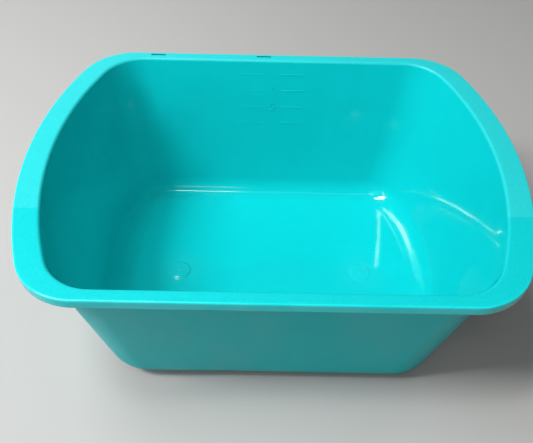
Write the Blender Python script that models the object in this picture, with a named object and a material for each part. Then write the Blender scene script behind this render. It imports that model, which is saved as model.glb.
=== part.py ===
"""Rectangular hand basin, moulded in one piece from polypropylene.

Metres, +Z up. The origin lies under the middle of the basin, on the plane that
it stands on. +X runs along the basin and +Y towards the wall with the scale.
"""

import math
from dataclasses import dataclass

import bmesh
import bpy
import numpy as np

# Overall height, and the plan of the rim
HEIGHT = 0.1339
RIM_LENGTH = 0.3390
RIM_WIDTH = 0.2474
RIM_END_RADIUS = 0.2607
RIM_CORNER_RADIUS = 0.0410

# Flange between the rim and the mouth, wider at the ends than at the sides
END_FLANGE = 0.0163
SIDE_FLANGE = 0.0088
MOUTH_END_RADIUS = 0.2437
MOUTH_CORNER_RADIUS = 0.0325

# Inner floor, measured to the corner that its fillet rounds off
FLOOR_LENGTH = 0.2612
FLOOR_WIDTH = 0.1926
FLOOR_END_RADIUS = 0.2080
FLOOR_CORNER_RADIUS = 0.0307
FLOOR_FILLET = 0.0157

# Moulded thicknesses, the turned-down skirt and the rounds along the rim
WALL = 0.0018
RIM_WALL = 0.0018
SKIRT_DEPTH = 0.0069
SKIRT_LIP_ROUND = 0.0006
RIM_EDGE_ROUND = 0.0020
MOUTH_EDGE_ROUND = 0.0017
FLANGE_ROOT_FILLET = 0.0012

# Two through slots in the back flange, left of the middle
SLOT_LENGTH = 0.0121
SLOT_WIDTH = 0.0020
SLOT_FROM_RIM = 0.0033
SLOT_NEAR_MIDDLE = 0.0086
SLOT_PITCH = 0.0864

# Volume scale on the back wall, a little left of the middle: a pair of raised bars for each
# line, with the lines at 7, 6, 5 and 4 US quarts
SCALE_DROPS = (0.0122, 0.0266, 0.0420, 0.0574)
SCALE_FROM_MIDDLE = 0.0011
SCALE_BAR_LENGTH = 0.0205
SCALE_GAP = 0.0134
SCALE_BAR_WIDTH = 0.0009
SCALE_BAR_CREST = 0.0005
SCALE_BAR_RISE = 0.0004

# Gate discs in the floor, with a recess of the same depth under each
GATE_SPACING = 0.1525
GATE_DISC_DIAMETER = 0.0200
GATE_DISC_RISE = 0.0009
GATE_DISC_EDGE_WIDTH = 0.0021
GATE_RECESS_DIAMETER = 0.0160
GATE_BUTTON_DIAMETER = 0.0036
GATE_BUTTON_RISE = 0.0005
GATE_TIP_DIAMETER = 0.0024
GATE_TIP_LENGTH = 0.0004

# Section of a disc's soft edge: pairs of a share of its width and a share of the rise
GATE_DISC_EDGE_SHARES = ((0, 0), (0.28, 0.16), (0.72, 0.84), (1, 1))

# How far a grafted feature is rooted in its wall, and a cut runs past it
GRAFT_DEPTH = 0.0005
CUT_OVERRUN = 0.0010

# Steps in the round stretches
END_STEPS = 20
CORNER_STEPS = 12
FILLET_STEPS = 6
EDGE_STEPS = 4
ROOT_STEPS = 2
DISC_STEPS = 32
BUTTON_STEPS = 12
SLOT_END_STEPS = 6
SMOOTH_ANGLE = math.radians(32)

# Moulded colour and surface
TURQUOISE = (0.003, 0.620, 0.645, 1.0)
POLYPROPYLENE_ROUGHNESS = 0.30


@dataclass(frozen=True)
class Outline:
    """Plan with two straight sides and two bowed ends, joined by round corners."""

    half_length: float
    half_width: float
    end_radius: float
    corner_radius: float

    def grown(self, distance):
        """The parallel outline this far outside, or inside where negative."""
        return Outline(
            self.half_length + distance,
            self.half_width + distance,
            self.end_radius + distance,
            self.corner_radius + distance,
        )

    def towards(self, other, share):
        """The outline this share of the way to another one."""
        def mix(here, there):
            return here + (there - here) * share

        return Outline(
            mix(self.half_length, other.half_length),
            mix(self.half_width, other.half_width),
            mix(self.end_radius, other.end_radius),
            mix(self.corner_radius, other.corner_radius),
        )

    def points(self):
        """Points anticlockwise, starting where the front side meets its right corner."""
        bow_x = self.half_length - self.end_radius
        corner_y = self.half_width - self.corner_radius
        reach = self.end_radius - self.corner_radius
        corner_x = bow_x + math.sqrt(reach**2 - corner_y**2)
        join = math.atan2(corner_y, corner_x - bow_x)

        front = arc(corner_x, -corner_y, self.corner_radius, -math.pi / 2, -join, CORNER_STEPS)
        bow = arc(bow_x, 0, self.end_radius, -join, join, END_STEPS)
        back = arc(corner_x, corner_y, self.corner_radius, join, math.pi / 2, CORNER_STEPS)
        right = np.vstack([front[:-1], bow, back[1:]])
        return np.vstack([right, -right])


def arc(centre_x, centre_y, radius, start, end, steps):
    """Points on a circular arc, both ends included."""
    angles = np.linspace(start, end, steps + 1)
    return np.column_stack([centre_x + radius * np.cos(angles), centre_y + radius * np.sin(angles)])


RIM = Outline(RIM_LENGTH / 2, RIM_WIDTH / 2, RIM_END_RADIUS, RIM_CORNER_RADIUS)
MOUTH = Outline(
    RIM.half_length - END_FLANGE,
    RIM.half_width - SIDE_FLANGE,
    MOUTH_END_RADIUS,
    MOUTH_CORNER_RADIUS,
)
FLOOR = Outline(FLOOR_LENGTH / 2, FLOOR_WIDTH / 2, FLOOR_END_RADIUS, FLOOR_CORNER_RADIUS)
CAVITY_DEPTH = HEIGHT - WALL


def inner_wall(height):
    """Outline of the cavity at a height, before its edges are rounded."""
    return FLOOR.towards(MOUTH, (height - WALL) / CAVITY_DEPTH)


def outer_wall(height):
    """Outline of the outside of the walls at a height."""
    return inner_wall(height).grown(WALL)


def quarter_round(steps):
    """Pairs (run, rise) of a unit quarter circle, from level at (1, 0) to upright at (0, 1)."""
    return [(1 - math.sin(angle), 1 - math.cos(angle)) for angle in np.linspace(0, math.pi / 2, steps + 1)]


def foot_rings():
    """The underside's edge, curving up into the outside of the walls."""
    radius = FLOOR_FILLET + WALL
    return [
        (outer_wall(radius * rise).grown(-radius * run), radius * rise)
        for run, rise in quarter_round(FILLET_STEPS)
    ]


def flange_underside_rings():
    """The outside of the walls, curving out under the flange, and on to the skirt."""
    under = HEIGHT - RIM_WALL
    root = [
        (outer_wall(under - FLANGE_ROOT_FILLET * rise).grown(FLANGE_ROOT_FILLET * run),
         under - FLANGE_ROOT_FILLET * rise)
        for run, rise in reversed(quarter_round(ROOT_STEPS))
    ]
    return root + [(RIM.grown(-RIM_WALL), under)]


def skirt_rings():
    """Down the inside of the skirt, round its lip and up to the rim's top edge."""
    lip = HEIGHT - SKIRT_DEPTH
    inner = [(RIM.grown(-RIM_WALL), lip), (RIM.grown(-SKIRT_LIP_ROUND), lip)]
    return inner + [(RIM, lip + SKIRT_LIP_ROUND)]


def rim_edge_rings():
    """The rounded edge where the skirt turns into the top of the flange."""
    return [
        (RIM.grown(-RIM_EDGE_ROUND * run), HEIGHT - RIM_EDGE_ROUND * rise)
        for rise, run in quarter_round(EDGE_STEPS)
    ]


def mouth_edge_rings():
    """The rounded edge where the flange turns down into the cavity."""
    return [
        (inner_wall(HEIGHT - MOUTH_EDGE_ROUND * rise).grown(MOUTH_EDGE_ROUND * run),
         HEIGHT - MOUTH_EDGE_ROUND * rise)
        for run, rise in quarter_round(EDGE_STEPS)
    ]


def floor_rings():
    """The inside of the walls, curving in to the flat floor."""
    return [
        (inner_wall(WALL + FLOOR_FILLET * rise).grown(-FLOOR_FILLET * run), WALL + FLOOR_FILLET * rise)
        for run, rise in reversed(quarter_round(FILLET_STEPS))
    ]


def circle(centre_x, diameter, height, steps):
    """Points of a level circle on the basin's long middle line."""
    flat = arc(centre_x, 0, diameter / 2, 0, 2 * math.pi, steps)[:-1]
    return [(x, y, height) for x, y in flat]


def join_loops(mesh, lower, upper):
    """Faces between two loops of corners that match one to one."""
    count = len(lower)
    for here in range(count):
        after = (here + 1) % count
        mesh.faces.new((lower[here], lower[after], upper[after], upper[here]))


def add_loft(mesh, loops):
    """A closed body through loops of points, with a flat face on its first and last loop."""
    corners = [[mesh.verts.new(point) for point in loop] for loop in loops]
    for lower, upper in zip(corners, corners[1:]):
        join_loops(mesh, lower, upper)
    mesh.faces.new(list(reversed(corners[0])))
    mesh.faces.new(corners[-1])


def new_object(name, fill):
    """An object at the origin whose mesh the given function fills."""
    shape = bmesh.new()
    fill(shape)
    mesh = bpy.data.meshes.new(name)
    shape.to_mesh(mesh)
    shape.free()
    made = bpy.data.objects.new(name, mesh)
    bpy.context.scene.collection.objects.link(made)
    return made


def fill_shell(mesh):
    """The whole moulding as one loft, from the underside round the rim to the floor."""
    rings = (
        foot_rings()
        + flange_underside_rings()
        + skirt_rings()
        + rim_edge_rings()
        + mouth_edge_rings()
        + floor_rings()
    )
    add_loft(mesh, [[(x, y, height) for x, y in outline.points()] for outline, height in rings])


def add_scale_bar(mesh, start_x, drop):
    """One bar of the scale: a low ridge with sloping flanks, lying on the back wall."""
    height = HEIGHT - drop
    lean = (MOUTH.half_width - FLOOR.half_width) / CAVITY_DEPTH
    upright = np.array([0, lean, 1]) / math.hypot(lean, 1)
    inward = np.array([0, -1, lean]) / math.hypot(lean, 1)
    foot = np.array([start_x, inner_wall(height).half_width, height])

    root = -inward * GRAFT_DEPTH
    crest = inward * SCALE_BAR_RISE
    section = [
        foot + root - upright * SCALE_BAR_WIDTH / 2,
        foot + crest - upright * SCALE_BAR_CREST / 2,
        foot + crest + upright * SCALE_BAR_CREST / 2,
        foot + root + upright * SCALE_BAR_WIDTH / 2,
    ]
    along = np.array([SCALE_BAR_LENGTH, 0, 0])
    add_loft(mesh, [section, [point + along for point in section]])


def fill_raised_features(mesh):
    """The bars of the scale and the gate discs with the small button on each."""
    for drop in SCALE_DROPS:
        add_scale_bar(mesh, -SCALE_FROM_MIDDLE - SCALE_GAP / 2 - SCALE_BAR_LENGTH, drop)
        add_scale_bar(mesh, -SCALE_FROM_MIDDLE + SCALE_GAP / 2, drop)

    for centre_x in (-GATE_SPACING / 2, GATE_SPACING / 2):
        root = circle(centre_x, GATE_DISC_DIAMETER, WALL - GRAFT_DEPTH, DISC_STEPS)
        edge = [
            circle(
                centre_x,
                GATE_DISC_DIAMETER - 2 * GATE_DISC_EDGE_WIDTH * inward,
                WALL + GATE_DISC_RISE * upward,
                DISC_STEPS,
            )
            for inward, upward in GATE_DISC_EDGE_SHARES
        ]
        add_loft(mesh, [root] + edge)


def fill_buttons(mesh):
    """The button on each gate disc and the gate's tip in the recess under it."""
    disc_top = WALL + GATE_DISC_RISE
    for centre_x in (-GATE_SPACING / 2, GATE_SPACING / 2):
        add_loft(mesh, [
            circle(centre_x, GATE_BUTTON_DIAMETER, disc_top - GRAFT_DEPTH, BUTTON_STEPS),
            circle(centre_x, GATE_BUTTON_DIAMETER, disc_top, BUTTON_STEPS),
            circle(centre_x, GATE_BUTTON_DIAMETER / 2, disc_top + GATE_BUTTON_RISE, BUTTON_STEPS),
        ])
        add_loft(mesh, [
            circle(centre_x, GATE_TIP_DIAMETER / 2, GATE_DISC_RISE - GATE_TIP_LENGTH, BUTTON_STEPS),
            circle(centre_x, GATE_TIP_DIAMETER, GATE_DISC_RISE + GRAFT_DEPTH, BUTTON_STEPS),
        ])


def slot_outline(centre_x, centre_y):
    """Points of a slot with round ends, lying along X."""
    radius = SLOT_WIDTH / 2
    reach = SLOT_LENGTH / 2 - radius
    right = arc(centre_x + reach, centre_y, radius, -math.pi / 2, math.pi / 2, SLOT_END_STEPS)
    left = arc(centre_x - reach, centre_y, radius, math.pi / 2, 3 * math.pi / 2, SLOT_END_STEPS)
    return np.vstack([right, left])


def fill_cuts(mesh):
    """The slots through the back flange and the recess under each gate disc."""
    centre_y = RIM.half_width - SLOT_FROM_RIM
    low = HEIGHT - RIM_WALL - CUT_OVERRUN
    high = HEIGHT + CUT_OVERRUN
    for centre_x in (-SLOT_NEAR_MIDDLE, -SLOT_NEAR_MIDDLE - SLOT_PITCH):
        flat = slot_outline(centre_x, centre_y)
        add_loft(mesh, [[(x, y, height) for x, y in flat] for height in (low, high)])

    for centre_x in (-GATE_SPACING / 2, GATE_SPACING / 2):
        add_loft(mesh, [
            circle(centre_x, GATE_RECESS_DIAMETER, height, DISC_STEPS)
            for height in (-CUT_OVERRUN, GATE_DISC_RISE)
        ])


def as_guide(made):
    """Marks an object that only shapes the basin."""
    made.hide_render = True
    made.display_type = "WIRE"
    return made


def apply_boolean(target, guide, operation):
    """Adds or cuts a guide, as a modifier on the target."""
    modifier = target.modifiers.new(guide.name, "BOOLEAN")
    modifier.operation = operation
    modifier.solver = "EXACT"
    modifier.object = guide


def polypropylene():
    """Turquoise polypropylene with a satin gloss."""
    material = bpy.data.materials.new("turquoise_polypropylene")
    material.use_nodes = True
    shader = material.node_tree.nodes["Principled BSDF"]
    shader.inputs["Base Color"].default_value = TURQUOISE
    shader.inputs["Roughness"].default_value = POLYPROPYLENE_ROUGHNESS
    shader.inputs["Metallic"].default_value = 0
    material.diffuse_color = TURQUOISE
    return material


def clear_scene():
    """Empties the scene."""
    for old in list(bpy.data.objects):
        bpy.data.objects.remove(old, do_unlink=True)


def build_basin():
    """The basin: one lofted shell with its raised features grafted on and its cuts made."""
    basin = new_object("basin", fill_shell)
    basin.data.materials.append(polypropylene())
    basin.data.shade_smooth()
    basin.data.set_sharp_from_angle(angle=SMOOTH_ANGLE)
    apply_boolean(basin, as_guide(new_object("raised_features", fill_raised_features)), "UNION")
    apply_boolean(basin, as_guide(new_object("cuts", fill_cuts)), "DIFFERENCE")
    apply_boolean(basin, as_guide(new_object("buttons", fill_buttons)), "UNION")
    return basin


clear_scene()
build_basin()
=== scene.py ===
"""Studio scene of a rectangular hand basin moulded in one piece from turquoise polypropylene.

The basin is one closed surface: a section that runs from the underside up the outside of the
walls, round the rim and down the inside to the floor, carried round a plan with bowed ends.
Metres, +Z up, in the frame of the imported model.
"""

import logging
import math
from dataclasses import dataclass
from enum import Enum

import bpy
import numpy as np
from mathutils import Euler, Matrix, Vector


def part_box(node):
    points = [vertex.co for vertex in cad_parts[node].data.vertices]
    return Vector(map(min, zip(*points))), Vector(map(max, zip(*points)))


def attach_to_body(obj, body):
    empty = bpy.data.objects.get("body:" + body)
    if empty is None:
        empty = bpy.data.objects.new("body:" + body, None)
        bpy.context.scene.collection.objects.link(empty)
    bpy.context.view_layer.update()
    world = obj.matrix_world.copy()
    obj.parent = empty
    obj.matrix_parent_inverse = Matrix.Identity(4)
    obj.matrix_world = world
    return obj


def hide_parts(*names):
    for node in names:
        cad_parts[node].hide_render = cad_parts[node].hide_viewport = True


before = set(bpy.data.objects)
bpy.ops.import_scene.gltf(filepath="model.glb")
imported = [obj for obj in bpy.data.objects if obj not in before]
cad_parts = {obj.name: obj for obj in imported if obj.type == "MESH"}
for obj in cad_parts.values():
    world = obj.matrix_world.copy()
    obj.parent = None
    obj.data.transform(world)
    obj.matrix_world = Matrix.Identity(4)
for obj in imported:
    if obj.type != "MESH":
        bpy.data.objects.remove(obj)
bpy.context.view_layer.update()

LOG = logging.getLogger("basin")
NODE = "basin"
BODY = "root"
PHOTO_WIDTH_PX = 533
FULL_TURN = 2 * math.pi

Object = bpy.types.Object
Material = bpy.types.Material
Node = bpy.types.Node
Socket = bpy.types.NodeSocket
# What goes into a node: another node's result, a number, or a colour or vector
Value = Socket | float | tuple
# One number for each ring, or one for them all
Level = np.ndarray | float


class Zone(Enum):
    """The four finishes of the moulding, as material slots of the shell."""

    INSIDE = 0
    RIM = 1
    EDGE = 2
    OUTSIDE = 3


Materials = dict[Zone, Material]


@dataclass(frozen=True)
class Plan:
    """Outline with two straight sides and two bowed ends, joined by round corners.

    Lengths in metres: half the length and width, the radius of the bow and of the corners.
    """

    half_length: float
    half_width: float
    end_radius: float
    corner_radius: float

    def values(self) -> np.ndarray:
        """The four lengths as an array."""
        return np.array([self.half_length, self.half_width, self.end_radius, self.corner_radius])


@dataclass(frozen=True)
class Steps:
    """Steps of a quarter of the outline, from bow to side, and rings of the section's stretches."""

    bow: int = 40
    corner: int = 28
    side: int = 30
    flat: int = 24
    fillet: int = 14
    wall: int = 30
    root: int = 5
    under_flange: int = 3
    skirt: int = 4
    lip: int = 4
    edge: int = 8
    flange: int = 8


def outline_points(plans: np.ndarray, steps: Steps) -> np.ndarray:
    """Points of many outlines at once, anticlockwise from the middle of the right end.

    A quarter is an arc of the bow about a centre on the long middle line, up to the angle where
    the corner's arc is tangent to it, then the corner's arc, then the straight side. The other
    quarters are its mirror images.

    Args:
        plans: The four lengths of each outline, one row each.
        steps: The steps of each stretch of a quarter.

    Returns:
        An array of outlines by points by (x, y).
    """
    half_length, half_width, end_radius, corner_radius = (column[:, None] for column in plans.T)
    bow_x = half_length - end_radius
    corner_y = half_width - corner_radius
    corner_x = bow_x + np.sqrt((end_radius - corner_radius) ** 2 - corner_y**2)
    join = np.arctan2(corner_y, corner_x - bow_x)

    bow = join * np.linspace(0, 1, steps.bow + 1)[None, :]
    corner = join + (math.pi / 2 - join) * np.linspace(0, 1, steps.corner + 1)[None, 1:]
    side = corner_x * (1 - np.linspace(0, 1, steps.side + 1)[None, 1:])
    x = np.hstack([
        bow_x + end_radius * np.cos(bow),
        corner_x + corner_radius * np.cos(corner),
        side,
    ])
    y = np.hstack([
        end_radius * np.sin(bow),
        corner_y + corner_radius * np.sin(corner),
        np.broadcast_to(half_width, side.shape),
    ])
    back_right = np.stack([x, y], axis=-1)
    back_left = np.stack([-x, y], axis=-1)[:, -2::-1]
    front_left = np.stack([-x, -y], axis=-1)[:, 1:]
    front_right = np.stack([x, -y], axis=-1)[:, -2:0:-1]
    return np.concatenate([back_right, back_left, front_left, front_right], axis=1)


def quarter_round(steps: int) -> tuple[np.ndarray, np.ndarray]:
    """Runs and rises of a quarter circle: one less the sine, and one less the cosine, of its angle."""
    angle = np.linspace(0, math.pi / 2, steps + 1)
    return 1 - np.sin(angle), 1 - np.cos(angle)


def smooth_step(share: np.ndarray) -> np.ndarray:
    """A share eased at both ends: 3 s squared less 2 s cubed, held between 0 and 1."""
    held = np.clip(share, 0, 1)
    return held * held * (3 - 2 * held)


def link_object(name: str, data: bpy.types.ID) -> Object:
    """A new object of some data, linked to the scene.

    Args:
        name: Name of the object.
        data: Its mesh, curve, lamp or camera.

    Returns:
        The object.
    """
    made = bpy.data.objects.new(name, data)
    bpy.context.scene.collection.objects.link(made)
    return made


def mesh_object(name: str, points: np.ndarray, faces: np.ndarray, materials: list[Material]) -> Object:
    """A smooth object at the origin from arrays of points and of four-cornered faces.

    Args:
        name: Name of the object and its mesh.
        points: Corners, one (x, y, z) row each.
        faces: Four corner numbers a row. A triangle repeats its last corner.
        materials: Materials of the mesh's slots.

    Returns:
        The new object.
    """
    triangles = faces[:, 2] == faces[:, 3]
    sizes = np.where(triangles, 3, 4)
    keep = np.ones(faces.shape, dtype=bool)
    keep[triangles, 3] = False

    mesh = bpy.data.meshes.new(name)
    mesh.vertices.add(len(points))
    mesh.vertices.foreach_set("co", points.astype(np.float32).ravel())
    mesh.loops.add(int(sizes.sum()))
    mesh.loops.foreach_set("vertex_index", faces[keep].astype(np.int32))
    mesh.polygons.add(len(faces))
    mesh.polygons.foreach_set("loop_start", (np.cumsum(sizes) - sizes).astype(np.int32))
    mesh.polygons.foreach_set("use_smooth", np.ones(len(faces), dtype=bool))
    for material in materials:
        mesh.materials.append(material)
    mesh.update(calc_edges=True)
    mesh.validate()
    return link_object(name, mesh)


def loft_faces(rings: int, around: int) -> np.ndarray:
    """Faces of a surface closed round and drawn to a pole at each end.

    The points are the first pole, the rings one after another and the last pole. Between two
    rings, corner j of one joins corners j and j + 1 of the next, and the poles take fans.

    Args:
        rings: Number of rings.
        around: Points in each ring.

    Returns:
        Faces, four corner numbers a row.
    """
    here = np.arange(around)
    after = (here + 1) % around
    low = 1 + np.arange(rings - 1)[:, None] * around
    quads = np.stack([low + here, low + after, low + around + after, low + around + here], axis=-1)
    first = np.zeros(around, dtype=int)
    last = np.full(around, 1 + rings * around)
    top = 1 + (rings - 1) * around
    start_fan = np.stack([first, 1 + after, 1 + here, 1 + here], axis=-1)
    end_fan = np.stack([top + here, top + after, last, last], axis=-1)
    return np.concatenate([start_fan, quads.reshape(-1, 4), end_fan])


def loft_object(name: str, grid: np.ndarray, poles: tuple, materials: list[Material]) -> Object:
    """A closed object through rings of points, with a pole at each end.

    Args:
        name: Name of the object.
        grid: Rings by points by (x, y, z).
        poles: The first and the last pole.
        materials: Materials of the mesh's slots.

    Returns:
        The new object.
    """
    rings, around, _ = grid.shape
    points = np.vstack([poles[0], grid.reshape(-1, 3), poles[1]])
    return mesh_object(name, points, loft_faces(rings, around), materials)


def turned_object(
    name: str, centre_x: float, radii: np.ndarray, heights: np.ndarray, around: int, material: Material
) -> Object:
    """A closed shape turned about an upright axis, from its lower end to its upper end.

    Ring by ring, x is the axis's plus the radius times the cosine, and y is the radius times the
    sine. The poles lie on the axis at the heights of the first and the last ring.

    Args:
        name: Name of the object.
        centre_x: The axis's place along X.
        radii: Radius of each ring.
        heights: Height of each ring.
        around: Points in each ring.
        material: Its only material.

    Returns:
        The new object.
    """
    angle = np.linspace(0, FULL_TURN, around, endpoint=False)
    grid = np.stack([
        centre_x + radii[:, None] * np.cos(angle),
        radii[:, None] * np.sin(angle),
        np.broadcast_to(heights[:, None], (len(radii), around)),
    ], axis=-1)
    poles = ((centre_x, 0, heights[0]), (centre_x, 0, heights[-1]))
    return loft_object(name, grid, poles, [material])


def join_objects(name: str, parts: list[Object]) -> Object:
    """One object from several at the origin.

    Args:
        name: Name of the joined object.
        parts: The objects, of which the first is kept.

    Returns:
        The joined object.
    """
    for part in bpy.context.selected_objects:
        part.select_set(False)
    for part in parts:
        part.select_set(True)
    bpy.context.view_layer.objects.active = parts[0]
    bpy.ops.object.join()
    parts[0].name = name
    parts[0].data.name = name
    parts[0].select_set(False)
    return parts[0]


def attach(piece: Object) -> None:
    """Lets a piece ride on the basin's body.

    Args:
        piece: The finished piece.
    """
    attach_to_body(piece, BODY)
    LOG.info("%s: %d faces", piece.name, len(piece.data.polygons))


@dataclass(frozen=True)
class Ripple:
    """Slow unevenness of a moulded wall, as a sum of sine waves through space."""

    height: float = 0.00014
    shortest: float = 0.045
    longest: float = 0.150
    waves: int = 14
    seed: int = 11

    def at(self, points: np.ndarray) -> np.ndarray:
        """How far the wall stands proud at each point.

        Each wave is the sine of the point's product with a random direction over a wavelength,
        plus a random phase. Their sum is scaled to the ripple's height.

        Args:
            points: Any array whose last axis is (x, y, z).

        Returns:
            Distances in metres, without that axis.
        """
        chance = np.random.default_rng(self.seed)
        directions = chance.normal(size=(self.waves, 3))
        directions /= np.linalg.norm(directions, axis=1, keepdims=True)
        lengths = chance.uniform(self.shortest, self.longest, self.waves)
        phases = chance.uniform(0, FULL_TURN, self.waves)
        angles = points @ (directions * (FULL_TURN / lengths)[:, None]).T + phases
        return self.height * np.sin(angles).sum(axis=-1) / math.sqrt(self.waves / 2)


@dataclass(frozen=True)
class Cuts:
    """The slots in the back flange and the recesses under the gates, in metres."""

    slot_length: float = 0.0121
    slot_width: float = 0.0020
    slot_from_rim: float = 0.0033
    slot_near_middle: float = 0.0086
    slot_pitch: float = 0.0864
    recess_diameter: float = 0.0160
    recess_depth: float = 0.0009
    overrun: float = 0.0010
    around: int = 48

    def circle(self) -> np.ndarray:
        """A unit circle's points as (cosine, sine) rows, half a step off the axes."""
        angle = (np.arange(self.around) + 0.5) * (FULL_TURN / self.around)
        return np.column_stack([np.cos(angle), np.sin(angle)])


@dataclass(frozen=True)
class BasinForm:
    """Sizes of the basin and the surfaces that they give. Lengths in metres."""

    height: float
    rim: Plan
    end_flange: float = 0.0163
    side_flange: float = 0.0088
    mouth_end_radius: float = 0.2437
    mouth_corner_radius: float = 0.0325
    floor: Plan = Plan(half_length=0.1306, half_width=0.0963, end_radius=0.2080, corner_radius=0.0307)
    floor_fillet: float = 0.0157
    wall: float = 0.0018
    rim_wall: float = 0.0018
    skirt_depth: float = 0.0069
    lip_round: float = 0.0006
    rim_round: float = 0.0012
    mouth_round: float = 0.0017
    root_fillet: float = 0.0012
    end_bulge: float = 0.0006
    pole_share: float = 0.03
    ripple: Ripple = Ripple()
    ripple_fade: float = 0.020

    def mouth(self) -> np.ndarray:
        """The four lengths of the mouth's outline at the top of the flange."""
        return np.array([
            self.rim.half_length - self.end_flange,
            self.rim.half_width - self.side_flange,
            self.mouth_end_radius,
            self.mouth_corner_radius,
        ])

    def inner_plans(self, heights: np.ndarray) -> np.ndarray:
        """Outlines of the cavity, each length mixed from the floor's to the mouth's by height.

        Half way up, the end walls stand out by their bulge, as half a wave of a sine.

        Args:
            heights: Heights over the underside.

        Returns:
            The four lengths of the outline at each height.
        """
        share = ((heights - self.wall) / (self.height - self.wall))[:, None]
        plans = self.floor.values() * (1 - share) + self.mouth() * share
        plans[:, 0] += self.end_bulge * np.sin(math.pi * share[:, 0])
        return plans

    def outer_plans(self, heights: np.ndarray) -> np.ndarray:
        """Outlines of the outside of the walls: the cavity's, grown by the wall."""
        return self.inner_plans(heights) + self.wall

    def wall_point(self, x: float, drop: float) -> Vector:
        """The point of the straight back wall's inside at x, this far below the rim."""
        height = self.height - drop
        return Vector((x, float(self.inner_plans(np.array([height]))[0, 1]), height))

    def wall_axes(self) -> tuple[Vector, Vector]:
        """The straight back wall's upward direction along the wall, and its inward normal."""
        lean = (self.mouth()[1] - self.floor.half_width) / (self.height - self.wall)
        return Vector((0, lean, 1)).normalized(), Vector((0, -1, lean)).normalized()

    def section(self, steps: Steps) -> tuple[np.ndarray, ...]:
        """The rings of the whole section, from the underside round the rim to the floor.

        Each ring is an outline, a height and a share by which it is shrunk about the middle. A
        fillet's ring lies in by its radius times a quarter round's run, and up by its rise.

        Args:
            steps: Rings over each stretch.

        Returns:
            Outlines, heights, shares, zones and ripple weights, one of each a ring.
        """
        stretches = []

        def add(plans: np.ndarray, heights: Level, zone: Zone, share: Level = 1, ripple: Level = 0) -> None:
            """Adds one stretch of rings, where what is given once holds for them all."""
            columns = np.broadcast_arrays(heights, share, zone.value, ripple, plans[..., 0])[:4]
            stretches.append((np.broadcast_to(plans, (len(columns[0]), 4)), *columns))

        rim = self.rim.values()
        run, rise = quarter_round(steps.fillet)
        foot = self.floor_fillet + self.wall
        foot_heights = foot * rise
        foot_plans = self.outer_plans(foot_heights) - (foot * run)[:, None]
        shares = np.linspace(self.pole_share, 1, steps.flat, endpoint=False)
        add(foot_plans[0], 0, Zone.OUTSIDE, shares)
        add(foot_plans, foot_heights, Zone.OUTSIDE, ripple=rise)

        under = self.height - self.rim_wall
        heights = np.linspace(foot, under - self.root_fillet, steps.wall + 1)[1:-1]
        fade = smooth_step((under - heights) / self.ripple_fade)
        add(self.outer_plans(heights), heights, Zone.OUTSIDE, ripple=fade)
        run, rise = quarter_round(steps.root)
        root_heights = under - self.root_fillet * rise[::-1]
        root = self.outer_plans(root_heights) + (self.root_fillet * run[::-1])[:, None]
        add(root, root_heights, Zone.OUTSIDE)
        skirt_inside = rim - self.rim_wall
        mix = np.linspace(0, 1, steps.under_flange + 2)[1:, None]
        add(root[-1] * (1 - mix) + skirt_inside * mix, under, Zone.OUTSIDE)

        lip = self.height - self.skirt_depth
        add(skirt_inside, np.linspace(under, lip, steps.skirt + 1)[1:], Zone.OUTSIDE)
        run, rise = quarter_round(steps.lip)
        add(rim - (self.lip_round * run)[:, None], lip + self.lip_round * rise, Zone.EDGE)
        run, rise = quarter_round(steps.edge)
        heights = np.linspace(lip + self.lip_round, self.height - self.rim_round, steps.skirt + 1)[1:-1]
        add(rim, heights, Zone.EDGE)
        add(rim - (self.rim_round * rise)[:, None], self.height - self.rim_round * run, Zone.EDGE)

        mouth_heights = self.height - self.mouth_round * rise
        mouth = self.inner_plans(mouth_heights) + (self.mouth_round * run)[:, None]
        mix = np.linspace(0, 1, steps.flange + 1)[1:-1, None]
        add((rim - self.rim_round) * (1 - mix) + mouth[0] * mix, self.height, Zone.RIM)
        add(mouth, mouth_heights, Zone.RIM)

        run, rise = quarter_round(steps.fillet)
        fillet_heights = self.wall + self.floor_fillet * rise[::-1]
        fillet = self.inner_plans(fillet_heights) - (self.floor_fillet * run[::-1])[:, None]
        heights = np.linspace(mouth_heights[-1], fillet_heights[0], steps.wall + 1)[1:-1]
        fade = smooth_step((self.height - heights) / self.ripple_fade)
        add(self.inner_plans(heights), heights, Zone.INSIDE, ripple=fade)
        add(fillet, fillet_heights, Zone.INSIDE, ripple=1)
        add(fillet[-1], self.wall, Zone.INSIDE, shares[::-1], ripple=1)
        return tuple(np.concatenate(column) for column in zip(*stretches))


def grid_normals(grid: np.ndarray) -> np.ndarray:
    """Unit normals of a grid closed round: the step round crossed with the step along.

    Args:
        grid: Rings by points by (x, y, z).

    Returns:
        A normal for each point.
    """
    around = np.roll(grid, -1, axis=1) - np.roll(grid, 1, axis=1)
    along = np.gradient(grid, axis=0)
    normals = np.cross(around, along)
    return normals / np.linalg.norm(normals, axis=-1, keepdims=True)


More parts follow.
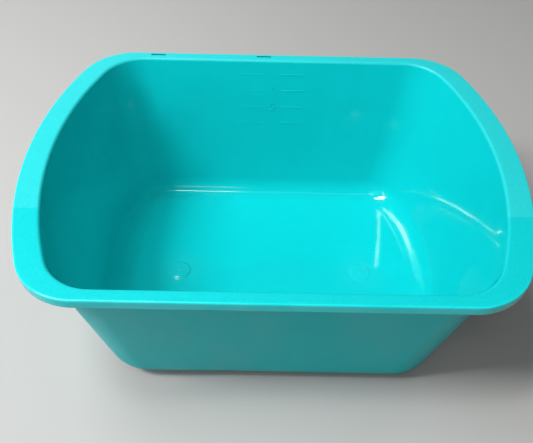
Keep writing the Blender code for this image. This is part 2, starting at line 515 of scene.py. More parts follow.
@dataclass(frozen=True)
class Shell:
    """The moulding itself: floor, walls, flange and skirt as one closed surface."""

    form: BasinForm
    materials: Materials
    steps: Steps = Steps()
    cuts: Cuts = Cuts()
    sharp_from: float = math.radians(38)

    def slots(self) -> list[Material]:
        """The four finishes in the order of the zones."""
        return [self.materials[zone] for zone in Zone]

    def build(self) -> None:
        """Makes the shell with its slots and recesses cut, in place of the CAD node.

        A ring's points are its outline's, shrunk by its share, at its height. Each point is then
        moved along its normal by the ripple times the ring's weight.
        """
        plans, heights, shares, zones, ripple = self.form.section(self.steps)
        flat = outline_points(plans, self.steps) * shares[:, None, None]
        level = np.broadcast_to(heights[:, None, None], flat.shape[:2] + (1,))
        grid = np.concatenate([flat, level], axis=-1)
        proud = self.form.ripple.at(grid) * ripple[:, None]
        grid = grid + grid_normals(grid) * proud[..., None]
        pole = np.array([0, 0, self.form.wall])
        pole[2] += self.form.ripple.at(pole)

        piece = loft_object("basin_shell", grid, ((0, 0, 0), pole), self.slots())
        face_zones = np.repeat(np.append(zones, zones[-1]), grid.shape[1])
        piece.data.polygons.foreach_set("material_index", face_zones.astype(np.int32))
        self.cut(piece)
        piece.data.set_sharp_from_angle(angle=self.sharp_from)
        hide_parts(NODE)
        attach(piece)

    def cut(self, piece: Object) -> None:
        """Cuts the slots through the back flange and the recesses under the gates.

        Args:
            piece: The uncut shell.
        """
        guide = join_objects("cuts", self.guides())
        modifier = piece.modifiers.new("cuts", "BOOLEAN")
        modifier.operation = "DIFFERENCE"
        modifier.solver = "EXACT"
        modifier.object = guide
        depsgraph = bpy.context.evaluated_depsgraph_get()
        finished = bpy.data.meshes.new_from_object(piece.evaluated_get(depsgraph))
        piece.modifiers.clear()
        piece.data = finished
        finished.name = piece.name
        bpy.data.objects.remove(guide, do_unlink=True)

    def prism(self, edge: np.ndarray, low: float, high: float) -> Object:
        """A closed prism over an outline, given as (x, y) rows, between two heights."""
        rings = np.stack([np.column_stack([edge, np.full(len(edge), level)]) for level in (low, high)])
        return loft_object("guide", rings, rings.mean(axis=1), self.slots())

    def guides(self) -> list[Object]:
        """What is cut away, as prisms over outlines.

        A recess is a circle. A slot is a circle with each half moved out along X to its own end.

        Returns:
            The two slots and the two recesses.
        """
        cuts, form = self.cuts, self.form
        recess = cuts.circle() * (cuts.recess_diameter / 2)
        radius = cuts.slot_width / 2
        slot = cuts.circle() * radius
        slot[:, 0] += (cuts.slot_length / 2 - radius) * np.sign(slot[:, 0])
        slot[:, 1] += form.rim.half_width - cuts.slot_from_rim
        low, high = form.height - form.rim_wall - cuts.overrun, form.height + cuts.overrun
        places = (-cuts.slot_near_middle, -cuts.slot_near_middle - cuts.slot_pitch)
        slots = [self.prism(slot + [x, 0], low, high) for x in places]
        return slots + [
            self.prism(recess + [x, 0], -cuts.overrun, cuts.recess_depth) for x in GateDiscs.centres()
        ]


@dataclass(frozen=True)
class GateDiscs:
    """The two low discs in the floor where the plastic was let in, with their buttons and tips."""

    form: BasinForm
    materials: Materials
    radius: float = 0.0100
    top_radius: float = 0.0068
    rises: tuple = (0.0013, 0.0008)
    button_radius: float = 0.0018
    button_top_radius: float = 0.0008
    button_rise: float = 0.0005
    root: float = 0.0005
    tip_radius: float = 0.0012
    tip_length: float = 0.0004
    tip_root: float = 0.0003
    rings: int = 60
    around: int = 96
    tip_rings: int = 9
    tip_around: int = 48

    SPACING = 0.1525

    @classmethod
    def centres(cls) -> tuple[float, float]:
        """The discs' places along X."""
        return -cls.SPACING / 2, cls.SPACING / 2

    def build(self) -> None:
        """Makes both discs, and the tip in the recess under each, as turned shapes.

        The height over the floor eases from the disc's rise to nothing between its top and its
        outer radius, and the button's does the same on top of it. Below the floor the disc is
        closed by a flat root. The left disc stands a little higher than the right one. A tip
        narrows downwards to half its radius along a quarter of an ellipse.
        """
        radii = np.linspace(0, self.radius, self.rings + 1)[1:]
        disc = 1 - smooth_step((radii - self.top_radius) / (self.radius - self.top_radius))
        button = (radii - self.button_top_radius) / (self.button_radius - self.button_top_radius)
        button = self.button_rise * (1 - smooth_step(button))
        radii = np.concatenate([[self.radius, self.radius], radii[::-1]])
        share = np.linspace(1, 0, self.tip_rings)
        tip_radii = np.append((1 + np.sqrt(1 - share**2)) / 2, 1) * self.tip_radius
        tip_heights = Cuts.recess_depth + np.append(-self.tip_length * share, self.tip_root)
        inside, outside = self.materials[Zone.INSIDE], self.materials[Zone.OUTSIDE]
        made = []
        for centre_x, rise in zip(self.centres(), self.rises):
            rises = np.concatenate([[-self.root, -self.root / 2], (rise * disc + button)[::-1]])
            floor = self.form.wall + float(self.form.ripple.at(np.array([centre_x, 0, self.form.wall])))
            made += [
                turned_object("disc", centre_x, radii, floor + rises, self.around, inside),
                turned_object("tip", centre_x, tip_radii, tip_heights, self.tip_around, outside),
            ]
        attach(join_objects("gate_discs", made))


@dataclass(frozen=True)
class VolumeScale:
    """The scale raised on the back wall: a pair of bars a line, and plain numerals."""

    form: BasinForm
    materials: Materials
    lines: tuple = ((0.0122, ""), (0.0266, "6"), (0.0420, "5"), (0.0574, ""))
    from_middle: float = 0.0011
    bar_length: float = 0.0205
    gap: float = 0.0134
    bar_width: float = 0.0009
    bar_rise: float = 0.0003
    numeral_height: float = 0.0072
    numeral_rise: float = 0.00045
    numeral_edge: float = 0.00012
    cap_share: float = 0.73
    along: int = 40
    around: int = 16

    def build(self) -> None:
        """Makes the bars and the numerals as one object."""
        left = -self.from_middle - self.gap / 2 - self.bar_length
        right = -self.from_middle + self.gap / 2
        parts = []
        for drop, numeral in self.lines:
            parts += [self.bar(left, drop), self.bar(right, drop)]
            if numeral:
                parts.append(self.numeral(numeral, drop))
        attach(join_objects("volume_scale", parts))

    def bar(self, start_x: float, drop: float) -> Object:
        """One bar: a flattened capsule, half sunk in the wall.

        Along the bar its section is an ellipse, as wide as the bar and as high as its rise,
        scaled by the fourth root of one less the fourth power of the place between the ends.

        Args:
            start_x: The bar's left end.
            drop: How far it lies below the rim.

        Returns:
            The bar's object.
        """
        upright, inward = (np.array(axis) for axis in self.form.wall_axes())
        place = np.sin(np.linspace(-math.pi / 2, math.pi / 2, self.along + 2))[1:-1]
        girth = (1 - place**4) ** 0.25
        angle = np.linspace(0, FULL_TURN, self.around, endpoint=False)
        middle = np.array(self.form.wall_point(start_x + self.bar_length / 2, drop))
        section = (
            np.cos(angle)[:, None] * upright * self.bar_width / 2
            + np.sin(angle)[:, None] * inward * self.bar_rise
        )
        reach = np.array([self.bar_length / 2, 0, 0])
        grid = middle + place[:, None, None] * reach + girth[:, None, None] * section
        return loft_object("bar", grid, (middle - reach, middle + reach), [self.materials[Zone.INSIDE]])

    def numeral(self, text: str, drop: float) -> Object:
        """One plain numeral, standing out of the wall in the gap between the bars.

        Args:
            text: The numeral.
            drop: How far its middle lies below the rim.

        Returns:
            The numeral's mesh object.
        """
        curve = bpy.data.curves.new("numeral", "FONT")
        curve.body = text
        curve.align_x = "CENTER"
        curve.align_y = "CENTER"
        curve.size = self.numeral_height / self.cap_share
        curve.extrude = self.numeral_rise - self.numeral_edge
        curve.bevel_depth = self.numeral_edge
        curve.bevel_resolution = 1
        holder = link_object("numeral", curve)
        depsgraph = bpy.context.evaluated_depsgraph_get()
        mesh = bpy.data.meshes.new_from_object(holder.evaluated_get(depsgraph))
        bpy.data.objects.remove(holder, do_unlink=True)
        upright, inward = self.form.wall_axes()
        turn = Matrix((upright.cross(inward), upright, inward)).transposed().to_4x4()
        mesh.transform(Matrix.Translation(self.form.wall_point(-self.from_middle, drop)) @ turn)
        mesh.materials.clear()
        mesh.materials.append(self.materials[Zone.INSIDE])
        return link_object("numeral", mesh)


class Effect(Enum):
    """The shared effects, by the name of their shader node group."""

    TINT = "pigment_tint"
    RIPPLE = "moulded_ripple"
    SPARK = "spark_texture"
    SCUFF = "scuffs"
    BLUSH = "gate_blush"
    WITNESS = "insert_line"


class Sheet:
    """Adds and joins the nodes of one shader tree."""

    NODE_STEP = 180

    def __init__(self, tree: bpy.types.NodeTree) -> None:
        """Takes the tree that the nodes go into."""
        self.tree = tree

    @classmethod
    def blank(cls, owner: bpy.types.ID) -> "Sheet":
        """The emptied sheet of a new material or world.

        Args:
            owner: The material or world.

        Returns:
            Its sheet.
        """
        owner.use_nodes = True
        owner.node_tree.nodes.clear()
        return cls(owner.node_tree)

    def add(self, kind: str, inputs: dict | None = None, **settings: object) -> Node:
        """Adds a node to the right of the others.

        Args:
            kind: Its type.
            inputs: Values or sockets for its inputs, by name or number.
            **settings: Its own settings.

        Returns:
            The node.
        """
        node = self.tree.nodes.new(kind)
        node.location = (self.NODE_STEP * len(self.tree.nodes), 0)
        for key, value in settings.items():
            setattr(node, key, value)
        self.feed(node, inputs or {})
        return node

    def feed(self, node: Node, inputs: dict) -> None:
        """Gives a node its inputs.

        Args:
            node: The node.
            inputs: Values or sockets, by the input's name or number.
        """
        for key, value in inputs.items():
            if isinstance(value, Socket):
                self.tree.links.new(value, node.inputs[key])
            else:
                node.inputs[key].default_value = value

    def effect(self, kind: Effect, inputs: dict) -> bpy.types.NodeOutputs:
        """The outputs of a shared effect, placed with its own values."""
        return self.add("ShaderNodeGroup", inputs, node_tree=bpy.data.node_groups[kind.value]).outputs

    def maths(self, operation: str, first: Value, second: Value = 0.0, third: Value = 0.0) -> Socket:
        """The result of a Math node."""
        return self.add("ShaderNodeMath", {0: first, 1: second, 2: third}, operation=operation).outputs[0]

    def coordinates(self, source: str = "Object") -> Socket:
        """Coordinates: the object's own, or those of another source."""
        return self.add("ShaderNodeTexCoord").outputs[source]

    def axes(self, vector: Socket) -> bpy.types.NodeOutputs:
        """The X, Y and Z of a vector."""
        return self.add("ShaderNodeSeparateXYZ", {"Vector": vector}).outputs

    def place(self, scale: tuple = (1, 1, 1), turn: float = 0.0) -> Socket:
        """The object's own coordinates, stretched along the axes and turned about the upright one."""
        inputs = {"Vector": self.coordinates(), "Rotation": (0, 0, turn), "Scale": scale}
        return self.add("ShaderNodeMapping", inputs).outputs["Vector"]

    def noise(
        self, place: Socket, scale: Value, detail: float = 2.0, rough: float = 0.5, warp: float = 0.0
    ) -> Socket:
        """The value of a Noise Texture, about a half, with so many features in a metre."""
        inputs = {"Vector": place, "Scale": scale, "Detail": detail, "Roughness": rough, "Distortion": warp}
        return self.add("ShaderNodeTexNoise", inputs).outputs["Fac"]

    def span(self, value: Value, ends: tuple, results: tuple = (0.0, 1.0), ease: bool = False) -> Socket:
        """A value mapped so that two ends give two results, and held between them.

        Args:
            value: The value.
            ends: The two ends.
            results: Their results.
            ease: Whether it leaves and nears them softly.

        Returns:
            The mapped value.
        """
        inputs = dict(zip(("Value", "From Min", "From Max", "To Min", "To Max"), (value, *ends, *results)))
        kind = "SMOOTHSTEP" if ease else "LINEAR"
        return self.add("ShaderNodeMapRange", inputs, interpolation_type=kind).outputs["Result"]

    def blend(self, factor: Socket, first: Value, second: Value) -> Socket:
        """A mix of two colours, which are sockets 6 and 7 of its node, while output 2 is the mix."""
        return self.add("ShaderNodeMix", {"Factor": factor, 6: first, 7: second}, data_type="RGBA").outputs[2]

    def length(self, vector: Socket) -> Socket:
        """The length of a vector."""
        return self.add("ShaderNodeVectorMath", {0: vector}, operation="LENGTH").outputs["Value"]


def new_group(kind: Effect, inputs: dict, results: tuple) -> tuple[Sheet, bpy.types.NodeOutputs, Node]:
    """An empty node group with named sockets.

    Args:
        kind: Which effect it is.
        inputs: Default value of each input, by name. A tuple makes a colour.
        results: Name of each output. The output Color is a colour, and the rest are values.

    Returns:
        The sheet, the sockets of the group's inputs and its output node.
    """
    tree = bpy.data.node_groups.new(kind.value, "ShaderNodeTree")
    for name, default in inputs.items():
        socket_type = "NodeSocketColor" if isinstance(default, tuple) else "NodeSocketFloat"
        socket = tree.interface.new_socket(name=name, in_out="INPUT", socket_type=socket_type)
        socket.default_value = default
    for name in results:
        socket_type = "NodeSocketColor" if name == "Color" else "NodeSocketFloat"
        tree.interface.new_socket(name=name, in_out="OUTPUT", socket_type=socket_type)
    sheet = Sheet(tree)
    return sheet, sheet.add("NodeGroupInput").outputs, sheet.add("NodeGroupOutput")


@dataclass(frozen=True)
class SharedEffects:
    """The effects that the finishes share. Scales are features in a metre."""

    cloud_scale: float = 16.0
    cloud_share: float = 0.7
    streak_scale: float = 45.0
    streak_turn: float = 0.4
    broad_scale: float = 26.0
    fine_scale: float = 120.0
    fine_share: float = 0.16
    dent_scale: float = 60.0
    dent_reach: float = 0.10
    dent_chance: tuple = (0.86, 0.90)
    dent_share: float = 0.20
    scratches: tuple = ((0.5, 90.0), (-0.9, 120.0), (1.9, 75.0))
    scratch_stretch: tuple = (9.0, 0.45, 1.0)
    scratch_level: float = 0.62
    scratch_width: float = 0.006
    patch_scale: float = 22.0
    patch_edge: tuple = (0.52, 0.62)
    floor_edge: tuple = (0.004, 0.008)

    def build(self) -> None:
        """Builds every group once."""
        for make in (self.tint, self.ripple, self.spark, self.scuffs, self.blush, self.witness):
            make()

    def tint(self) -> None:
        """Colour of a pigmented plastic: clouds, streaks and a fine grain.

        The colour is multiplied by one, plus the strength times the distance of the clouds and
        streaks from a half, plus the grain's strength times its own distance from a half.
        """
        sheet, given, out = new_group(
            Effect.TINT,
            {"Color": (1.0, 1.0, 1.0, 1.0), "Strength": 0.05, "Grain": 0.0, "Grain Scale": 900.0},
            ("Color",),
        )
        clouds = sheet.place(scale=(1.0, 1.6, 0.7))
        clouds = sheet.noise(clouds, self.cloud_scale, detail=3.0, rough=0.55, warp=0.8)
        streaks = sheet.place(scale=(1.0, 5.0, 1.0), turn=self.streak_turn)
        streaks = sheet.noise(streaks, self.streak_scale, warp=0.3)
        grain = sheet.noise(sheet.place(), given["Grain Scale"], detail=1.0, rough=0.6)
        streaks = sheet.maths("MULTIPLY", streaks, 1 - self.cloud_share)
        both = sheet.maths("MULTIPLY_ADD", clouds, self.cloud_share, streaks)
        factor = sheet.maths("MULTIPLY_ADD", sheet.maths("SUBTRACT", both, 0.5), given["Strength"], 1.0)
        factor = sheet.maths("MULTIPLY_ADD", sheet.maths("SUBTRACT", grain, 0.5), given["Grain"], factor)
        scaled = sheet.add("ShaderNodeVectorMath", {0: given["Color"], "Scale": factor}, operation="SCALE")
        sheet.feed(out, {"Color": scaled.outputs["Vector"]})

    def ripple(self) -> None:
        """Unevenness of a glossy wall: broad noise, a share of finer noise and a few small dents."""
        sheet, given, out = new_group(Effect.RIPPLE, {"Dents": 1.0}, ("Height",))
        broad = sheet.place(scale=(1.0, 1.0, 0.6))
        broad = sheet.noise(broad, self.broad_scale, detail=1.0, rough=0.4, warp=0.4)
        fine = sheet.noise(sheet.place(), self.fine_scale, detail=1.0, rough=0.4)
        inputs = {"Vector": sheet.place(), "Scale": self.dent_scale}
        cells = sheet.add("ShaderNodeTexVoronoi", inputs, feature="F1").outputs
        near = sheet.span(cells["Distance"], (0.0, self.dent_reach), (1.0, 0.0), ease=True)
        chance = sheet.add("ShaderNodeSeparateColor", {"Color": cells["Color"]}).outputs[0]
        dents = sheet.maths("MULTIPLY", near, sheet.span(chance, self.dent_chance))
        dents = sheet.maths("MULTIPLY", dents, given["Dents"])
        waves = sheet.maths("MULTIPLY_ADD", fine, self.fine_share, broad)
        sheet.feed(out, {"Height": sheet.maths("MULTIPLY_ADD", dents, self.dent_share, waves)})

    def spark(self) -> None:
        """Fine matt texture that a spark-eroded mould leaves: close noise."""
        sheet, given, out = new_group(Effect.SPARK, {"Grain": 1300.0}, ("Height",))
        sheet.feed(out, {"Height": sheet.noise(sheet.place(), given["Grain"], rough=0.6)})

    def scuffs(self) -> None:
        """Fine scratches: the thin level lines of stretched noise, kept in patches."""
        sheet, given, out = new_group(Effect.SCUFF, {"Amount": 1.0}, ("Mask",))
        total = 0.0
        for turn, scale in self.scratches:
            lines = sheet.noise(sheet.place(self.scratch_stretch, turn), scale, warp=0.2)
            off = sheet.maths("ABSOLUTE", sheet.maths("SUBTRACT", lines, self.scratch_level))
            thin = sheet.span(off, (0.0, self.scratch_width), (1.0, 0.0))
            patch = sheet.span(sheet.noise(sheet.place(turn=turn), self.patch_scale), self.patch_edge)
            total = sheet.maths("MAXIMUM", total, sheet.maths("MULTIPLY", thin, patch))
        sheet.feed(out, {"Mask": sheet.maths("MULTIPLY", total, given["Amount"])})

    def blush(self) -> None:
        """Pale blush round each gate: one less the distance from the nearer gate over the reach."""
        sheet, given, out = new_group(Effect.BLUSH, {"Spacing": 0.15, "Reach": 0.03}, ("Mask",))
        axes = sheet.axes(sheet.coordinates())
        half = sheet.maths("MULTIPLY", given["Spacing"], 0.5)
        x = sheet.maths("SUBTRACT", sheet.maths("ABSOLUTE", axes["X"]), half)
        away = sheet.length(sheet.add("ShaderNodeCombineXYZ", {"X": x, "Y": axes["Y"]}).outputs["Vector"])
        near = sheet.span(away, (0.0, given["Reach"]), (1.0, 0.0), ease=True)
        low = sheet.span(axes["Z"], self.floor_edge, (1.0, 0.0))
        sheet.feed(out, {"Mask": sheet.maths("MULTIPLY", near, low)})

    def witness(self) -> None:
        """The line across the flange where two inserts of the mould met.

        Behind is one where y is past the line, and Line is one within its width of it.
        """
        sheet, given, out = new_group(Effect.WITNESS, {"Place": -0.05, "Width": 0.0004}, ("Behind", "Line"))
        past = sheet.maths("SUBTRACT", sheet.axes(sheet.coordinates())["Y"], given["Place"])
        width = (0.0, given["Width"])
        line = sheet.span(sheet.maths("ABSOLUTE", past), width, (1.0, 0.0))
        sheet.feed(out, {"Behind": sheet.span(past, width), "Line": line})


Surface = tuple[Value, Socket, list]


@dataclass(frozen=True)
class Finish:
    """What the finishes of the moulding share. Reliefs are in metres for a height of one."""

    name: str
    colour: tuple = (0.003, 0.620, 0.645, 1.0)
    ior: float = 1.49
    tint_strength: float = 0.10
    grain_tint: float = 0.0
    grain_scale: float = 900.0
    grain: float = 1300.0
    grain_depth: float = 0.00003

    HAZE_ENDS = (0.35, 0.65)

    def material(self) -> Material:
        """Builds the material: one shader, fed with what the finish's own surface method gives.

        Returns:
            The material.
        """
        material = bpy.data.materials.new(self.name)
        material.diffuse_color = self.colour
        sheet = Sheet.blank(material)
        colour, rough, layers = self.surface(sheet)
        tinted = sheet.effect(Effect.TINT, {
            "Color": colour, "Strength": self.tint_strength,
            "Grain": self.grain_tint, "Grain Scale": self.grain_scale,
        })["Color"]
        shader = sheet.add("ShaderNodeBsdfPrincipled", {
            "Base Color": tinted, "Roughness": rough, "Normal": self.relief(sheet, layers),
            "IOR": self.ior, "Metallic": 0.0,
        })
        sheet.add("ShaderNodeOutputMaterial", {"Surface": shader.outputs["BSDF"]})
        return material

    def relief(self, sheet: Sheet, layers: list) -> Socket:
        """The normal of several bumps one over another.

        Args:
            sheet: The sheet they go on.
            layers: Pairs of a height socket and the distance in metres that a height of one is.

        Returns:
            The last bump's normal.
        """
        under = {}
        for height, distance in layers:
            inputs = {"Height": height, "Distance": distance, "Strength": 1.0, **under}
            under = {"Normal": sheet.add("ShaderNodeBump", inputs).outputs["Normal"]}
        return under["Normal"]

    def spark(self, sheet: Sheet) -> tuple[Socket, float]:
        """The layer of fine matt texture."""
        return sheet.effect(Effect.SPARK, {"Grain": self.grain})["Height"], self.grain_depth


@dataclass(frozen=True)
class GlossyInside(Finish):
    """Polished inside of the basin: smooth and glossy, with faint ripples and fine scuffs."""

    name: str = "polypropylene_glossy"
    ior: float = 1.54
    smooth: float = 0.03
    dull: float = 0.07
    scuffed: float = 0.25
    haze_scale: float = 30.0
    ripple_depth: float = 0.00008
    scuff_depth: float = 0.00001
    blush_colour: tuple = (0.020, 0.670, 0.695, 1.0)
    blush_reach: float = 0.030
    blush_share: float = 0.35

    def surface(self, sheet: Sheet) -> Surface:
        """Pale round the gates, rougher in the scuffs, with slow ripples.

        Args:
            sheet: The material's sheet.

        Returns:
            The colour, the roughness and the layers of relief.
        """
        scuff = sheet.effect(Effect.SCUFF, {"Amount": 1.0})["Mask"]
        gates = {"Spacing": GateDiscs.SPACING, "Reach": self.blush_reach}
        blush = sheet.maths("MULTIPLY", sheet.effect(Effect.BLUSH, gates)["Mask"], self.blush_share)
        haze = sheet.noise(sheet.place(), self.haze_scale, detail=3.0, rough=0.6)
        rough = sheet.span(haze, self.HAZE_ENDS, (self.smooth, self.dull))
        rough = sheet.maths("MULTIPLY_ADD", scuff, self.scuffed - self.dull, rough)
        ripple = sheet.effect(Effect.RIPPLE, {"Dents": 1.0})["Height"]
        layers = [(ripple, self.ripple_depth), (scuff, -self.scuff_depth)]
        return sheet.blend(blush, self.colour, self.blush_colour), rough, layers


@dataclass(frozen=True)
class TexturedRim(Finish):
    """Fine matt texture of the rim, a little coarser behind the line across its ends, where its colour is
    painted paler as sheen.
    """

    name: str = "polypropylene_fine_matt"
    front_roughness: float = 0.36
    behind_roughness: float = 0.42
    haze_scale: float = 60.0
    haze_share: float = 0.10
    grain_tint: float = 0.22
    witness_place: float = -0.0545
    witness_width: float = 0.0004
    witness_depth: float = 0.00004
    # Paler and less saturated than the front of the rim: painted sheen behind the line.
    behind_painted_sheen_colour: tuple = (0.020, 0.650, 0.675, 1.0)

    def surface(self, sheet: Sheet) -> Surface:
        """Rougher behind the line, and paler there as painted sheen, while the line stands out a little.

        Args:
            sheet: The material's sheet.

        Returns:
            The colour, the roughness and the layers of relief.
        """
        inputs = {"Place": self.witness_place, "Width": self.witness_width}
        witness = sheet.effect(Effect.WITNESS, inputs)
        behind = witness["Behind"]
        haze = sheet.maths("SUBTRACT", sheet.noise(sheet.place(), self.haze_scale), 0.5)
        rough = sheet.span(behind, (0.0, 1.0), (self.front_roughness, self.behind_roughness))
        rough = sheet.maths("MULTIPLY_ADD", haze, self.haze_share, rough)
        layers = [self.spark(sheet), (witness["Line"], self.witness_depth)]
        # The paler colour behind the line is painted sheen; the rougher finish there is the real texture.
        return sheet.blend(behind, self.colour, self.behind_painted_sheen_colour), rough, layers


@dataclass(frozen=True)
class WornEdgeWithPaintedLight(Finish):
    """Skirt and rounded edges, which hands and stacking have rubbed to a low sheen, in a colour lighter than
    the body's as painted light.
    """

    name: str = "polypropylene_worn_edge_painted_light"
    # Lighter than the body's colour: painted light on the skirt and rounded edges.
    colour: tuple = (0.005, 0.720, 0.745, 1.0)
    rubbed: float = 0.18
    dull: float = 0.26
    nicked: float = 0.34
    nicks: float = 0.4
    wear_scale: float = 34.0
    wear_ends: tuple = (0.38, 0.62)
    grain_tint: float = 0.10
    grain: float = 1100.0
    grain_depth: float = 0.000015
    nick_depth: float = 0.00002
    # Paler still in rubbed patches: wear on top of the same painted light.
    rubbed_colour_with_painted_light: tuple = (0.015, 0.760, 0.785, 1.0)

    def surface(self, sheet: Sheet) -> Surface:
        """Paler and smoother where it is rubbed, with fine nicks, over a colour lighter than the body's that
        is painted light.

        Args:
            sheet: The material's sheet.

        Returns:
            The colour, the roughness and the layers of relief.
        """
        nicks = sheet.effect(Effect.SCUFF, {"Amount": self.nicks})["Mask"]
        haze = sheet.noise(sheet.place(), self.wear_scale, detail=3.0, rough=0.6)
        wear = sheet.span(haze, self.wear_ends, ease=True)
        rough = sheet.span(wear, (0.0, 1.0), (self.dull, self.rubbed))
        rough = sheet.maths("MULTIPLY_ADD", nicks, self.nicked - self.dull, rough)
        layers = [self.spark(sheet), (nicks, -self.nick_depth)]
        # Both colours are lighter than the body's as painted light; the rubbed patches are paler still from
        # wear.
        return sheet.blend(wear, self.colour, self.rubbed_colour_with_painted_light), rough, layers


@dataclass(frozen=True)
class SatinOutside(Finish):
    """Satin outside of the walls, with the same fine texture and some rub marks."""

    name: str = "polypropylene_satin"
    ior: float = 1.40
    smooth: float = 0.36
    dull: float = 0.48
    haze_scale: float = 24.0
    haze_stretch: tuple = (1.0, 1.0, 0.4)
    rubs: float = 0.5
    rubbed: float = -0.08
    grain: float = 1000.0
    ripple_depth: float = 0.00010

    def surface(self, sheet: Sheet) -> Surface:
        """Hazy, smoother where it is rubbed, with slow ripples under the texture.

        Args:
            sheet: The material's sheet.

        Returns:
            The colour, the roughness and the layers of relief.
        """
        rub = sheet.effect(Effect.SCUFF, {"Amount": self.rubs})["Mask"]
        haze = sheet.noise(sheet.place(self.haze_stretch), self.haze_scale, detail=3.0, rough=0.6)
        rough = sheet.span(haze, self.HAZE_ENDS, (self.smooth, self.dull))
        rough = sheet.maths("MULTIPLY_ADD", rub, self.rubbed, rough)
        ripple = sheet.effect(Effect.RIPPLE, {"Dents": 0.0})["Height"]
        return self.colour, rough, [(ripple, self.ripple_depth), self.spark(sheet)]


def direction(azimuth: float, elevation: float) -> Vector:
    """Unit vector towards an azimuth from the front, counted towards +X, and an elevation, in degrees."""
    turn, rise = math.radians(azimuth), math.radians(elevation)
    return Vector((math.sin(turn) * math.cos(rise), -math.cos(turn) * math.cos(rise), math.sin(rise)))


@dataclass(frozen=True)
class Lamp:
    """A rectangular lamp, which the camera doesn't see. Lengths in metres.

    A lamp that isn't mirrored lights matt surfaces only, as one behind a diffusing sheet would.
    """

    name: str
    width: float
    length: float
    watts: float
    mirrored: bool

    def hang(self, place: Vector, turn: Euler) -> None:
        """Hangs the lamp at a place.

        Args:
            place: The lamp's middle.
            turn: Its turn from facing down.
        """
        lamp = bpy.data.lights.new(self.name, "AREA")
        lamp.shape = "RECTANGLE"
        lamp.size = self.width
        lamp.size_y = self.length
        lamp.energy = self.watts
        holder = link_object(self.name, lamp)
        holder.location = place
        holder.rotation_euler = turn
        holder.visible_camera = False
        holder.visible_glossy = self.mirrored


@dataclass(frozen=True)
class Softbox(Lamp):
    """A lamp on a stand that faces the basin, at an azimuth and elevation in degrees."""

    azimuth: float
    elevation: float
    distance: float = 1.5

    def build(self) -> None:
        """Hangs it on the line from the middle of the basin."""
        towards = direction(self.azimuth, self.elevation)
        self.hang(towards * self.distance, towards.to_track_quat("Z", "Y").to_euler())


@dataclass(frozen=True)
class CeilingPanel(Lamp):
    """A level lamp in the ceiling over a place on the floor, turned by an angle in degrees."""

    x: float
    y: float
    turn: float = 0.0
    ceiling: float = 1.5

    def build(self) -> None:
        """Hangs it level and turns it."""
        self.hang(Vector((self.x, self.y, self.ceiling)), Euler((0, 0, math.radians(self.turn))))


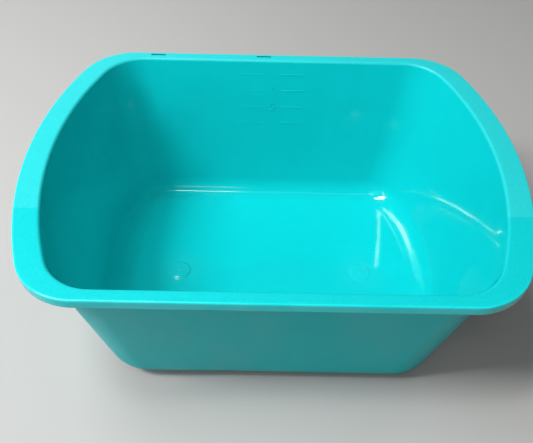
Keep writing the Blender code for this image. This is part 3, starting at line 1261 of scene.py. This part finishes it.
@dataclass(frozen=True)
class Studio:
    """Pale floor, dim room with a pale horizon, and the lamps.

    A lamp's numbers are its width, length and watts, then whether it is mirrored, then the x, y
    and turn of a panel or the azimuth and elevation of a softbox.
    """

    lamps: tuple[Lamp, ...] = (
        CeilingPanel("panel_main", 0.76, 0.32, 30.0, True, -1.085, -0.400, 10.0),
        CeilingPanel("panel_far", 0.95, 0.24, 2.5, True, -1.930, -0.600, 14.0),
        CeilingPanel("panel_end", 0.30, 0.17, 4.6, True, -0.440, -0.185, 10.0),
        CeilingPanel("panel_left", 0.20, 1.20, 5.5, True, -2.000, -1.250, -42.0),
        CeilingPanel("panel_near", 0.75, 0.52, 1.0, True, -0.900, -1.275),
        CeilingPanel("strip_low", 0.30, 0.09, 1.1, True, -0.255, -0.795),
        CeilingPanel("strip_high", 0.30, 0.18, 0.7, True, -0.270, -2.025),
        CeilingPanel("strip_right", 0.75, 0.10, 0.2, True, 0.240, -0.820),
        CeilingPanel("fill_middle", 0.60, 0.45, 7.0, False, -0.600, 0.150),
        CeilingPanel("fill_front", 0.90, 0.75, 3.2, False, -0.900, -1.875),
        CeilingPanel("fill_right", 0.60, 0.75, 0.6, False, 0.750, 0.150),
        CeilingPanel("fill_back", 0.90, 0.90, 8.5, False, 1.500, 1.800),
        Softbox("low_front", 1.00, 0.40, 4.5, False, -16.0, 15.0),
        Softbox("low_back", 0.50, 0.40, 0.5, True, -158.0, 32.0),
    )
    floor_reach: float = 6.0
    haze_ends: tuple = (0.9, 2.6)
    floor_seen: tuple = (0.50, 0.50, 0.49, 1.0)
    floor_bounce: tuple = (0.06, 0.06, 0.06, 1.0)
    floor_roughness: tuple = (0.9, 1.0)
    floor_grain: float = 40.0
    grain_ends: tuple = (0.3, 0.7)
    room: tuple = (0.02, 0.02, 0.02, 1.0)
    horizon: tuple = (0.45, 0.45, 0.44, 1.0)
    horizon_ends: tuple = (0.20, 0.45)

    def build(self) -> None:
        """Lays the floor, sets the room's light and hangs the lamps."""
        self.lay_floor()
        self.set_room()
        for lamp in self.lamps:
            lamp.build()

    def seen(self, sheet: Sheet) -> Socket:
        """One for camera, glossy and transmission rays, nothing for the rest.

        Args:
            sheet: The sheet it is used on.

        Returns:
            The value.
        """
        path = sheet.add("ShaderNodeLightPath").outputs
        total = sheet.maths("ADD", path["Is Camera Ray"], path["Is Glossy Ray"])
        total = sheet.maths("ADD", total, path["Is Transmission Ray"])
        return sheet.maths("MINIMUM", total, 1.0)

    def lay_floor(self) -> None:
        """A level sheet under the basin, pale to the eye and darker for the light it throws back.

        Away from the basin, seen rays find it fading into the colour of the horizon.
        """
        material = bpy.data.materials.new("floor_paint")
        sheet = Sheet.blank(material)
        place = sheet.place()
        seen = self.seen(sheet)
        grain = sheet.noise(place, self.floor_grain, detail=4.0, rough=0.6)
        shader = sheet.add("ShaderNodeBsdfPrincipled", {
            "Base Color": sheet.blend(seen, self.floor_bounce, self.floor_seen),
            "Roughness": sheet.span(grain, self.grain_ends, self.floor_roughness),
            "Specular IOR Level": 0.0,
        })
        far = sheet.add("ShaderNodeEmission", {"Color": self.horizon, "Strength": 1.0})
        away = sheet.span(sheet.length(place), self.haze_ends, ease=True)
        haze = sheet.maths("MULTIPLY", seen, away)
        inputs = {"Fac": haze, 1: shader.outputs["BSDF"], 2: far.outputs["Emission"]}
        surface = sheet.add("ShaderNodeMixShader", inputs)
        sheet.add("ShaderNodeOutputMaterial", {"Surface": surface.outputs["Shader"]})
        corners = np.array([[-1, -1, 0], [1, -1, 0], [1, 1, 0], [-1, 1, 0]]) * self.floor_reach
        mesh_object("floor", corners, np.array([[0, 1, 2, 3]]), [material])
        LOG.info("floor: laid")

    def set_room(self) -> None:
        """A dim even room, in which seen rays find a pale band round the horizon."""
        world = bpy.data.worlds.new("room")
        sheet = Sheet.blank(world)
        height = sheet.axes(sheet.coordinates("Generated"))["Z"]
        band = sheet.span(height, self.horizon_ends, (1.0, 0.0), ease=True)
        factor = sheet.maths("MULTIPLY", self.seen(sheet), band)
        colour = sheet.blend(factor, self.room, self.horizon)
        light = sheet.add("ShaderNodeBackground", {"Color": colour, "Strength": 1.0})
        sheet.add("ShaderNodeOutputWorld", {"Surface": light.outputs["Background"]})
        bpy.context.scene.world = world


@dataclass(frozen=True)
class PhotoCamera:
    """The camera at the photograph's viewing angle, lengths in metres and angles in degrees."""

    target: Vector
    distance: float
    azimuth: float
    elevation: float
    roll: float
    focal_px: float
    sensor_mm: float = 36.0
    near: float = 0.01
    far: float = 50.0

    def build(self) -> None:
        """Places the camera on the line from its target, turned by its roll."""
        data = bpy.data.cameras.new("camera")
        data.sensor_fit = "HORIZONTAL"
        data.sensor_width = self.sensor_mm
        data.lens = self.focal_px / PHOTO_WIDTH_PX * self.sensor_mm
        data.clip_start = self.near
        data.clip_end = self.far
        back = direction(self.azimuth, self.elevation)
        right = direction(self.azimuth + 90, 0)
        up = back.cross(right)
        roll = math.radians(self.roll)
        rolled_right = right * math.cos(roll) + up * math.sin(roll)
        rolled_up = up * math.cos(roll) - right * math.sin(roll)
        camera = link_object("camera", data)
        axes = Matrix((rolled_right, rolled_up, back)).transposed().to_4x4()
        camera.matrix_world = Matrix.Translation(self.target + back * self.distance) @ axes
        bpy.context.scene.camera = camera


def main() -> None:
    """Builds the basin, the studio and the camera in order."""
    logging.basicConfig(level=logging.INFO, format="%(message)s")
    low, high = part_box(NODE)
    rim = Plan(
        half_length=(high[0] - low[0]) / 2,
        half_width=(high[1] - low[1]) / 2,
        end_radius=0.2607,
        corner_radius=0.0410,
    )
    form = BasinForm(height=high[2] - low[2], rim=rim)
    SharedEffects().build()
    materials = {
        Zone.INSIDE: GlossyInside().material(),
        Zone.RIM: TexturedRim().material(),
        Zone.EDGE: WornEdgeWithPaintedLight().material(),
        Zone.OUTSIDE: SatinOutside().material(),
    }
    Shell(form, materials).build()
    GateDiscs(form, materials).build()
    VolumeScale(form, materials).build()
    Studio().build()
    PhotoCamera(
        target=Vector((-0.00495, -0.06217, form.height)),
        distance=0.3705,
        azimuth=-0.598,
        elevation=47.837,
        roll=1.523,
        focal_px=600.0,
    ).build()
    bpy.context.scene.view_settings.view_transform = "Standard"


if __name__ == "__main__":
    main()
